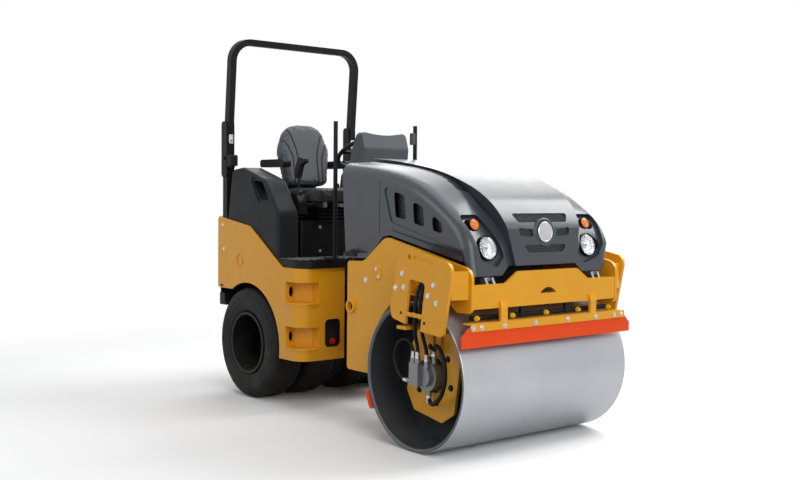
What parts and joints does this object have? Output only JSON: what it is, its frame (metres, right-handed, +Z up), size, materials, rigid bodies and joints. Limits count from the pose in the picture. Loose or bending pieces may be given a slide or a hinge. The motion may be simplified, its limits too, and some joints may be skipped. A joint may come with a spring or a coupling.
{
  "type": "articulated combination road roller",
  "caption": "Articulated road roller with a smooth steel drum and engine hood on the front frame, and an open platform, folding roll bar and twin smooth tyres on the rear frame.",
  "frame": {"origin": "on the ground under the middle of the machine's length and width", "axes": "+X forward towards the drum, +Y to the machine's left, +Z up"},
  "size_m": [2.903, 1.472, 2.665],
  "materials": {
    "yellow_paint": "satin warm yellow paint",
    "hood_grey": "glossy slate grey moulding",
    "black_paint": "satin black paint",
    "mesh_black": "black perforated sheet",
    "console_plastic": "grained dark grey moulding",
    "black_plastic": "black moulding",
    "drum_steel": "rolled and worn bright steel",
    "drum_inside": "dark slate paint",
    "rubber": "black rubber",
    "tyre": "smooth compactor tyre",
    "rim_paint": "black paint",
    "orange_blade": "orange cast plastic",
    "seat_vinyl": "grey vinyl",
    "lamp_clear": "clear faceted lens",
    "lamp_amber": "amber lens",
    "lamp_red": "red lens",
    "motor_metal": "bare cast housing",
    "engine_iron": "dark grey block",
    "bright_steel": "bright steel",
    "barrel_paint": "black paint",
    "nozzle_yellow": "yellow moulding"
  },
  "bodies": {
    "rear_frame": {"rear_chassis": "black_paint", "rear_skirt_right": "yellow_paint", "rear_skirt_left": "yellow_paint", "tail_panel": "yellow_paint", "tail_lamps": "lamp_red", "tyre_scrapers": "black_paint", "rear_axle": "black_paint", "deck": "black_paint", "seat_pedestal": "black_paint", "console_right": "console_plastic", "console_left": "console_plastic", "seat_base": "black_paint", "seat_rails": "bright_steel", "seat_cushion": "seat_vinyl", "seat_back": "seat_vinyl", "seat_frame": "black_paint", "drive_lever": "black_plastic", "steering_wheel": "black_plastic", "steering_column": "console_plastic", "dash": "console_plastic", "grab_rails": "black_paint", "rops_posts": "black_paint", "steer_barrel": "barrel_paint"},
    "roll_hoop": {"rops_hoop": "black_paint"},
    "steer_ram": {"steer_rod": "bright_steel"},
    "steer_knuckle": {"knuckle": "black_paint"},
    "front_frame": {"front_sides": "yellow_paint", "tie_lugs": "yellow_paint", "front_chassis": "yellow_paint", "front_beam": "yellow_paint", "engine_block": "engine_iron", "drum_arm_right": "yellow_paint", "drum_arm_left": "yellow_paint", "drum_buffers": "rubber", "drum_motors": "motor_metal", "drum_hoses": "rubber", "scraper_blade": "orange_blade", "scraper_bar": "yellow_paint", "spray_bar": "black_paint", "spray_nozzles": "nozzle_yellow", "rear_blade": "orange_blade", "rear_blade_bar": "yellow_paint", "hood_hinges": "bright_steel"},
    "hood_body": {"hood": "hood_grey", "hood_mesh": "mesh_black", "head_lamps": "lamp_clear", "turn_lamps": "lamp_amber", "hood_latches": "black_plastic"},
    "drum": {"drum_shell": "drum_steel", "drum_webs": "drum_inside"},
    "wheels_left": {"rims_left": "rim_paint", "tyres_left": "tyre"},
    "wheels_right": {"rims_right": "rim_paint", "tyres_right": "tyre"}
  },
  "joints": [
    {"name": "steer", "type": "hinge", "parent": "rear_frame", "child": "steer_knuckle", "pos_m": [-0.01, 0, 0.545], "axis": [0, 0, 1], "range_deg": [-30, 30]},
    {"name": "frame_swing", "type": "hinge", "parent": "steer_knuckle", "child": "front_frame", "pos_m": [0.2, 0, 0.545], "axis": [1, 0, 0], "range_deg": [-8, 8]},
    {"name": "steer_rod_slide", "type": "slide", "parent": "rear_frame", "child": "steer_ram", "axis": [1, 0, 0], "range_m": [-0.08, 0.08]},
    {"name": "drum_spin", "type": "hinge", "parent": "front_frame", "child": "drum", "pos_m": [0.995, 0, 0.44], "axis": [0, 1, 0], "continuous": true},
    {"name": "wheels_left_spin", "type": "hinge", "parent": "rear_frame", "child": "wheels_left", "pos_m": [-1.015, 0.34, 0.403], "axis": [0, 1, 0], "continuous": true},
    {"name": "wheels_right_spin", "type": "hinge", "parent": "rear_frame", "child": "wheels_right", "pos_m": [-1.015, -0.34, 0.403], "axis": [0, 1, 0], "continuous": true},
    {"name": "hood_open", "type": "hinge", "parent": "front_frame", "child": "hood_body", "pos_m": [1.356, 0, 1.02], "axis": [0, 1, 0], "range_deg": [0, 50]},
    {"name": "roll_bar_fold", "type": "hinge", "parent": "rear_frame", "child": "roll_hoop", "pos_m": [-1.37, 0, 1.762], "axis": [0, -1, 0], "range_deg": [0, 100]}
  ],
  "couplings": [
    {"joint": "steer_rod_slide", "follows": "steer", "m_per_rad": 0.1432}
  ]
}
